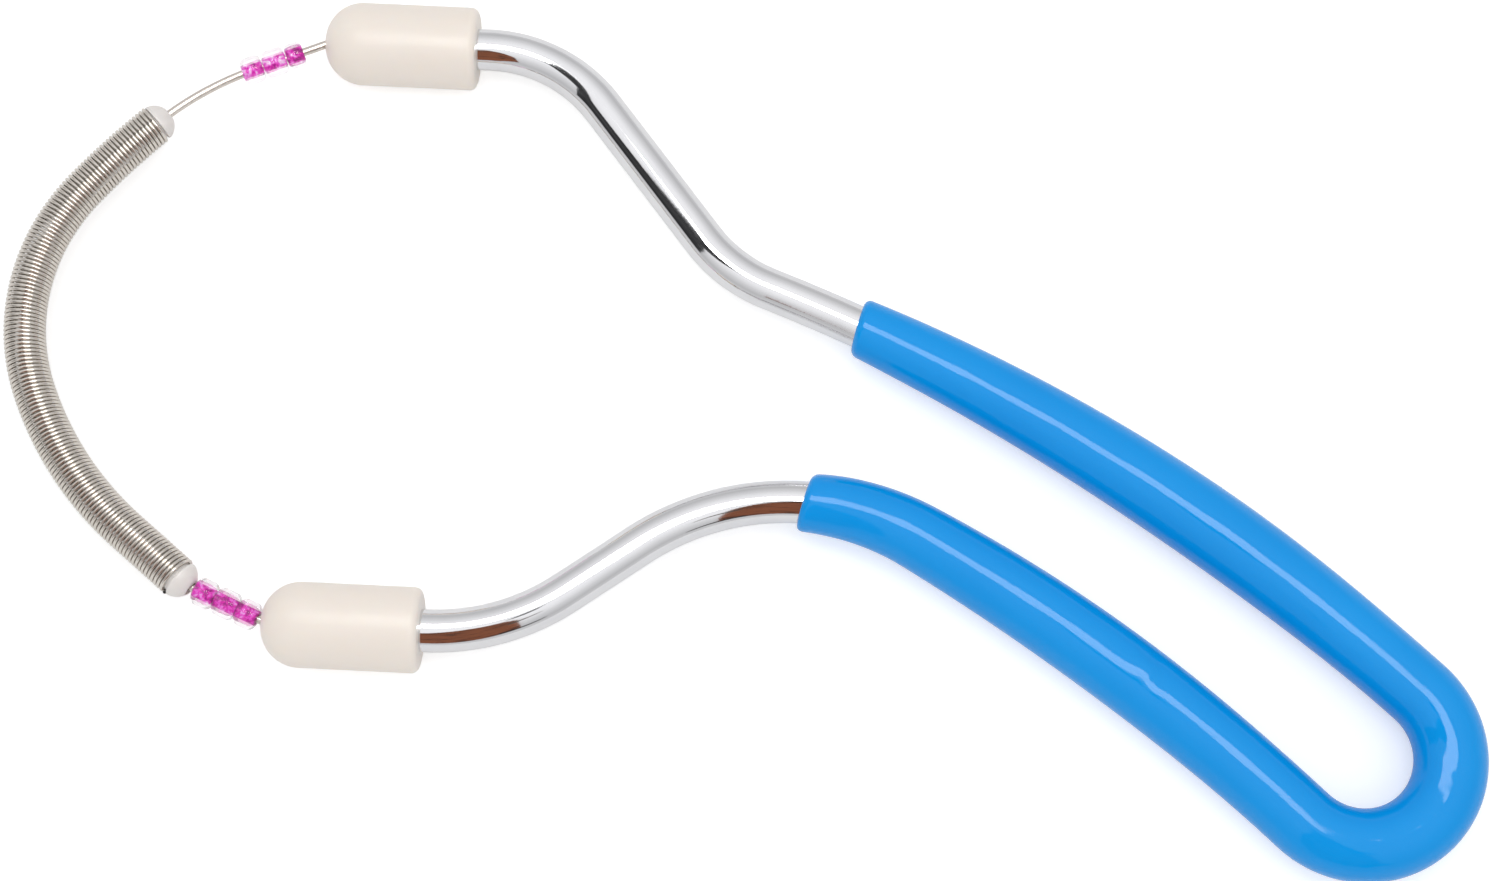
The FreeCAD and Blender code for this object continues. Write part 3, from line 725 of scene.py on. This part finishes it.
def cap_outline():
    """Nose, side, rim and bore of a cap, from the nose's tip."""
    bend_shift = NOSE_BEND_RADIUS * (1 - math.cos(math.radians(UPPER_NOSE_LEAN)))
    hole = WIRE_THICKNESS / 2 + bend_shift + NOSE_HOLE_PLAY
    flat = cap_radius - CAP_NOSE_RADIUS
    start = 180 - math.degrees(math.asin((hole - flat) / CAP_NOSE_RADIUS))
    bore = ROD_THICKNESS / 2 + ROD_PLAY
    rim_x, rim_radius = cap_length - CAP_RIM_RADIUS, cap_radius - CAP_RIM_RADIUS
    return [
        (NOSE_WALL, hole),
        *arc(CAP_NOSE_RADIUS, flat, CAP_NOSE_RADIUS, start, 90, CAP_NOSE_STEPS),
        *arc(rim_x, rim_radius, CAP_RIM_RADIUS, 90, 0, CAP_RIM_STEPS),
        (cap_length, bore),
        (NOSE_WALL + POCKET_LENGTH, bore),
        (NOSE_WALL + POCKET_LENGTH, POCKET_RADIUS),
        (NOSE_WALL, POCKET_RADIUS),
    ]


PALE_IVORY = (0.885, 0.815, 0.745)
WARM_IVORY = (0.86, 0.785, 0.705)


def ivory_plastic():
    """Ivory polystyrene with a moulder's satin gloss and slight clouding."""
    finish = Finish("ivory_plastic")
    place = finish.place()
    clouding = finish.noise(place, scale=0.12, detail=3.0)
    flow = finish.noise(finish.place(scale=(0.15, 1.0, 1.0)), scale=0.5)
    pores = finish.noise(place, scale=3.2)
    return finish.surface(
        Base_Color=finish.mix(PALE_IVORY, WARM_IVORY, clouding),
        Roughness=0.28 + flow * 0.08,
        Specular_IOR_Level=0.30,
        Subsurface_Weight=0.25,
        Subsurface_Radius=(1.0, 0.75, 0.5),
        Subsurface_Scale=1.2 * MM,
        Normal=finish.bump(pores, 0.003, finish.bump(flow, 0.04)),
    )


ivory = ivory_plastic()
for side, nose in (("upper", upper_nose), ("lower", lower_nose)):
    cap = lathe(f"{side}_moulded_cap", cap_outline(), (nose, 0.0), ivory, CAP_AROUND)
    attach(cap, "frame")
    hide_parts(f"{side}_end_cap")


# The crimps: short steel sleeves squeezed on the wire's two ends, behind the nose walls and out of
# sight in the caps. They keep the wire from pulling out, and their solids stay as they are.

for side in ("upper", "lower"):
    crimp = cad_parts[f"{side}_wire_crimp"]
    crimp.data.materials.clear()
    crimp.data.materials.append(bright_wire)


# The grip: the closed half of the frame dipped hot in blue vinyl, which sets as a thick glossy
# skin. It thins towards the dip line, ends there in a round lip, and keeps one drip.

GRIP_END_THICKNESS = 7.0
GRIP_PALM_THICKNESS = 9.15
GRIP_FINGER_THICKNESS = 8.85
GRIP_LOOP_THICKNESS = 8.45
GRIP_PALM_DISTANCE = 50.0
GRIP_FINGER_DISTANCE = 42.0
DIP_LINE_X = 11.15
DIP_LINE_Y = 2.2
DIP_LINE_LEAN = math.radians(14.2)
LEAN_FADE = 9.0
LOOP_STEP = 5
HALVINGS = 40
loop_start, loop_end = rod_marks[LOOP_STEP], rod_marks[LOOP_STEP + 1]


def beyond_dip_line(distance):
    point, _ = rod_place(distance)
    return point.real > DIP_LINE_X + (point.imag - DIP_LINE_Y) * math.tan(DIP_LINE_LEAN)


def distance_to_dip(outside, inside):
    """Where the rod crosses the dip line, between a bare place and a dipped one."""
    for _ in range(HALVINGS):
        middle = (outside + inside) / 2
        if beyond_dip_line(middle):
            inside = middle
        else:
            outside = middle
    return inside


upper_dip = distance_to_dip(rod_marks[1], loop_start)
lower_dip = distance_to_dip(rod_marks[-2], loop_end)
palm = upper_dip + GRIP_PALM_DISTANCE
fingers = lower_dip - GRIP_FINGER_DISTANCE


def blend(first, second, share):
    return first + (second - first) * share


def falling(share):
    return (1 + math.cos(share * math.pi)) / 2


def grip_thickness(distance):
    """Thickness of the dipped skin at a distance along the rod."""
    if distance < palm:
        share = (distance - upper_dip) / (palm - upper_dip)
        return blend(GRIP_END_THICKNESS, GRIP_PALM_THICKNESS, math.sin(share * math.pi / 2))
    if distance < loop_start:
        share = (distance - palm) / (loop_start - palm)
        return blend(GRIP_LOOP_THICKNESS, GRIP_PALM_THICKNESS, falling(share))
    if distance < loop_end:
        return GRIP_LOOP_THICKNESS
    if distance < fingers:
        share = (distance - loop_end) / (fingers - loop_end)
        return blend(GRIP_FINGER_THICKNESS, GRIP_LOOP_THICKNESS, falling(share))
    share = (lower_dip - distance) / (lower_dip - fingers)
    return blend(GRIP_END_THICKNESS, GRIP_FINGER_THICKNESS, math.sin(share * math.pi / 2))


DRIP_DISTANCE = 44.3
DRIP_ANGLE = math.radians(104)
DRIP_HEIGHT = 0.16
DRIP_LENGTH = 1.6
DRIP_WIDTH = 1.1
DENT_BACK = 1.9
DENT_LENGTH = 0.8
DENT_WIDTH = 1.3
DENT_SHARE = 0.8


def drip(distance, angle, radius):
    """Height of the one drip on the lower arm: a swelling with a short dent beside it."""
    along = distance - (lower_dip - DRIP_DISTANCE)
    around = (angle - DRIP_ANGLE) * radius
    swelling = math.exp(-((along / DRIP_LENGTH) ** 2) - (around / DRIP_WIDTH) ** 2)
    dent = math.exp(-(((along + DENT_BACK) / DENT_LENGTH) ** 2) - (around / DENT_WIDTH) ** 2)
    return DRIP_HEIGHT * (swelling - DENT_SHARE * dent)


GRIP_AROUND = 96
GRIP_SPACING = 0.45


def grip_ring(distance, radius):
    """Corners of one ring, square to the rod but leaning to the dip line near the ends."""
    point, heading = rod_place(distance)
    to_end = min(distance - upper_dip, lower_dip - distance)
    square = cmath.rect(1, heading)
    level = cmath.rect(1, -DIP_LINE_LEAN) * (1 if distance < loop_start else -1)
    lean = max(0.0, 1 - to_end / LEAN_FADE)
    lean = lean * lean * (3 - 2 * lean)
    forward = square * (1 - lean) + level * lean
    forward /= abs(forward)
    side = forward * 1j
    ring = []
    for number in range(GRIP_AROUND):
        angle = 2 * math.pi * number / GRIP_AROUND
        reach = radius + drip(distance, angle, radius)
        spot = point + side * reach * math.cos(angle)
        ring.append(Vector((spot.real, spot.imag, AXIS_HEIGHT + reach * math.sin(angle))) * MM)
    return ring


GRIP_LIP = 0.9
LIP_STEPS = 7
LIP_SUNK = 0.1
LIP_STEP = 0.05


def lip_rings(end, inwards):
    """Rings from inside the rod's surface out over the round lip of one end."""
    rings = []
    outer = grip_thickness(end + inwards * GRIP_LIP) / 2
    for radius in (ROD_THICKNESS / 2 - LIP_SUNK, ROD_THICKNESS / 2 + LIP_STEP):
        rings.append(grip_ring(end, radius))
    for number in range(LIP_STEPS + 1):
        angle = math.pi / 2 * number / LIP_STEPS
        inset = GRIP_LIP * (1 - math.sin(angle))
        rings.append(grip_ring(end + inwards * GRIP_LIP * (1 - math.cos(angle)), outer - inset))
    return rings


def dipped_grip(material):
    """The grip's skin, from one lip round the loop to the other."""
    rings = lip_rings(upper_dip, 1)
    first, last = upper_dip + GRIP_LIP, lower_dip - GRIP_LIP
    count = round((last - first) / GRIP_SPACING)
    for number in range(1, count):
        distance = first + (last - first) * number / count
        rings.append(grip_ring(distance, grip_thickness(distance) / 2))
    rings += lip_rings(lower_dip, -1)[::-1]
    shape = bmesh.new()
    rows = [[shape.verts.new(corner) for corner in ring] for ring in rings]
    for near, far in zip(rows, rows[1:]):
        for number in range(GRIP_AROUND):
            shape.faces.new((near[number - 1], near[number], far[number], far[number - 1]))
    for row, turn in ((rows[0], 1), (rows[-1], -1)):
        shape.faces.new(row[::turn])
    return closed_piece("dipped_grip", shape, material, sharp=60)


VINYL_BLUE = (0.002, 0.325, 0.82)
VINYL_DEEP_BLUE = (0.001, 0.285, 0.76)
VINYL_GLOSS = 0.28
RUNS_TURN = math.radians(-36)


def blue_vinyl():
    """Plasticised vinyl, glossy and faintly uneven, as it ran off after the dip."""
    finish = Finish("blue_vinyl")
    place = finish.place()
    clouding = finish.noise(place, scale=0.05)
    runs = finish.noise(finish.place(scale=(0.25, 1.0, 1.0), turn=RUNS_TURN), scale=0.35, detail=1.0)
    peel = finish.noise(place, scale=1.3)
    return finish.surface(
        Base_Color=finish.mix(VINYL_BLUE, VINYL_DEEP_BLUE, clouding),
        Roughness=0.05 + peel * 0.05,
        Specular_IOR_Level=VINYL_GLOSS,
        Normal=finish.bump(peel, 0.002, finish.bump(runs, 0.10)),
    )


grip = dipped_grip(blue_vinyl())
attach(grip, "frame")
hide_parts("grip_sleeve")


# The table and the light tent: white card below and pale walls round it, a long lamp overhead that
# draws the line of light on the grip, and the few dark things outside that bright metal shows.

def card(name, corners, material):
    """A flat card between its corners."""
    mesh = bpy.data.meshes.new(name)
    mesh.from_pydata([Vector(corner) * MM for corner in corners], [], [tuple(range(len(corners)))])
    mesh.materials.append(material)
    flat = put_in_scene(name, mesh)
    return flat


def oblong(length, width, height):
    """Corners of a level oblong about the origin."""
    half_length, half_width = length / 2, width / 2
    return [
        (-half_length, -half_width, height),
        (half_length, -half_width, height),
        (half_length, half_width, height),
        (-half_length, half_width, height),
    ]


FLOOR_SIZE = 3000.0
FLOOR_GLOW = 0.42
MIRRORED_SHARE = 0.15
CARD_WHITE = (0.88, 0.88, 0.875)
CARD_GREY = (0.86, 0.86, 0.855)


def white_card():
    """A white table that still shows the object's soft shadow."""
    finish = Finish("white_card")
    grain = finish.noise(finish.place(), scale=0.02, detail=3.0)
    colour = finish.mix(CARD_WHITE, CARD_GREY, grain)
    lit = finish.node("ShaderNodeBsdfDiffuse", None, {"Color": colour})
    seen = finish.node("ShaderNodeLightPath", output="Is Camera Ray")
    mirrored = finish.node("ShaderNodeLightPath", output="Is Glossy Ray")
    through = finish.node("ShaderNodeLightPath", output="Is Transmission Ray")
    glow = finish.node("ShaderNodeEmission", None, {"Strength": FLOOR_GLOW})
    dark = finish.node("ShaderNodeEmission", None, {"Strength": 0.0})
    shown = seen + through + mirrored * MIRRORED_SHARE
    extra = finish.node("ShaderNodeMixShader", None, {0: shown, 1: dark, 2: glow})
    return finish.end_in(finish.node("ShaderNodeAddShader", None, {0: lit, 1: extra}))


card("table", oblong(FLOOR_SIZE, FLOOR_SIZE, 0), white_card())

WALL_DISTANCE = 1000.0
NEARER = 0.97 * WALL_DISTANCE
LAMP_CENTRE = Vector((8, 7, 250))
LAMP_TURN = Matrix.Rotation(math.radians(-26), 3, "Z")
LAMP_LENGTH = 205.0
LAMP_WIDTH = 80.0
LAMP_FRONT_DROP = 2.0
LENS_PLACE = (5.4, -84.5, 336.0)
LENS_RADIUS = 16.0
LENS_CORNERS = 24


def wall_patch(outline, away=WALL_DISTANCE):
    """Corners of a patch of the room's wall, from bearings and elevations in degrees."""
    corners = []
    for bearing, elevation in outline:
        spot = cmath.rect(away, math.radians(bearing))
        corners.append((spot.real, spot.imag, away * math.tan(math.radians(elevation))))
    return corners


def round_patch(centre, radius, count):
    """Corners of a level disc."""
    turns = (Matrix.Rotation(2 * math.pi * number / count, 3, "Z") for number in range(count))
    return [Vector(centre) + turn @ Vector((radius, 0, 0)) for turn in turns]


def lamp_front():
    """Corners of the lamp's cloth, just under the lamp."""
    flat = oblong(LAMP_LENGTH, LAMP_WIDTH, -LAMP_FRONT_DROP)
    return [LAMP_CENTRE + LAMP_TURN @ Vector(corner) for corner in flat]


def unlit(name, colour, blotch):
    """Something that is only seen mirrored, at the level at which it is seen there."""
    finish = Finish(name)
    clouding = finish.noise(finish.place(), scale=0.006, detail=6.0, roughness=0.75)
    limits = {"Value": clouding, "From Min": 0.50, "From Max": 0.62}
    share = finish.node("ShaderNodeMapRange", None, limits)
    blotched = finish.mix(colour, blotch, share)
    return finish.end_in(finish.node("ShaderNodeEmission", None, {"Color": blotched}))


DOORWAY = ((291, 14), (268, 10), (256, 9), (243, 24), (243, 46), (252, 64), (262, 76), (282, 74), (290, 62))
SILL = ((299, 15), (284, 13), (284, 20), (299, 18))
LINTEL = ((299, 54), (286, 52), (286, 58), (299, 56))
STAND = (
    (187, 16), (187, 40), (190, 51), (182, 62), (166, 71), (142, 76),
    (203, 74), (206, 60), (201, 50), (206, 36), (208, 16),
)
LENS = round_patch(LENS_PLACE, LENS_RADIUS, LENS_CORNERS)
for name, corners, paint, colour, blotch in (
    ("doorway", wall_patch(DOORWAY), "brown_wood", (0.27, 0.098, 0.052), (0.040, 0.030, 0.027)),
    ("sill", wall_patch(SILL, NEARER), "sill_paint", (0.030, 0.026, 0.024), (0.06, 0.05, 0.045)),
    ("lintel", wall_patch(LINTEL, NEARER), "lintel_paint", (0.09, 0.07, 0.06), (0.16, 0.13, 0.11)),
    ("stand", wall_patch(STAND), "stand_paint", (0.040, 0.040, 0.042), (0.12, 0.12, 0.122)),
    ("lens", LENS, "lens_glass", (0.02, 0.02, 0.02), (0.05, 0.05, 0.05)),
    ("lamp_front", lamp_front(), "lamp_cloth", (7.6, 7.6, 7.6), (6.8, 6.8, 6.8)),
):
    thing = card(name, corners, unlit(paint, colour, blotch))
    thing.visible_camera = False
    thing.visible_diffuse = False
    thing.visible_transmission = False
    thing.visible_shadow = False

LAMP_LEVEL = 1.6
light = bpy.data.lights.new("long_lamp", "AREA")
light.shape = "RECTANGLE"
light.size = LAMP_LENGTH * MM
light.size_y = LAMP_WIDTH * MM
light.energy = LAMP_LEVEL * math.pi * light.size * light.size_y
long_lamp = put_in_scene("long_lamp", light)
long_lamp.matrix_world = Matrix.Translation(LAMP_CENTRE * MM) @ LAMP_TURN.to_4x4()
long_lamp.visible_glossy = False

TENT_WALLS = ((0.0, 0.74), (0.30, 0.62), (0.66, 0.84), (0.92, 1.12))
TENT_BLUENESS = 1.01
world = bpy.data.worlds.new("light_tent")
bpy.context.scene.world = world
world.use_nodes = True
tent = Nodes(world.node_tree)
stops = [(rise, (level, level, level * TENT_BLUENESS)) for rise, level in TENT_WALLS]
direction = tent.node("ShaderNodeTexCoord", output="Generated")
height = tent.node("ShaderNodeSeparateXYZ", None, {0: direction}, output="Z")
walls = tent.node("ShaderNodeValToRGB", {"stops": stops}, {0: height})
pale = tent.node("ShaderNodeBackground", None, {"Color": walls, "Strength": 1.0})
white = tent.node("ShaderNodeBackground", None, {"Color": (1, 1, 1), "Strength": 1.0})
seen = tent.node("ShaderNodeLightPath", output="Is Camera Ray")
both = tent.node("ShaderNodeMixShader", None, {0: seen, 1: pale, 2: white})
tent.node("ShaderNodeOutputWorld", None, {"Surface": both})


# The camera: above the object and a little towards the near arm, as in the photograph. Its frame
# is 1496 x 881 pixels, and the middle of the frame looks at a point on the plane of the rod.

IMAGE_WIDTH = 1496
FOCAL_PIXELS = 2900.0
PIXELS_PER_MM = 8.5
SENSOR_WIDTH = 36.0
NEAREST_SEEN = 10.0
TILT = math.radians(14.0)
ROLL = math.radians(2.8)
LOOKED_AT = Vector((1.4, -2.1, AXIS_HEIGHT))

camera_data = bpy.data.cameras.new("camera")
camera_data.sensor_width = SENSOR_WIDTH
camera_data.lens = FOCAL_PIXELS / IMAGE_WIDTH * SENSOR_WIDTH
camera_data.clip_start = NEAREST_SEEN * MM
camera = put_in_scene("camera", camera_data)
spun = Matrix.Rotation(ROLL, 4, "Z") @ Matrix.Rotation(TILT, 4, "X")
back = Matrix.Translation((0, 0, FOCAL_PIXELS / PIXELS_PER_MM * MM))
camera.matrix_world = Matrix.Translation(LOOKED_AT * MM) @ spun @ back
bpy.context.scene.camera = camera
bpy.context.scene.view_settings.view_transform = "Standard"
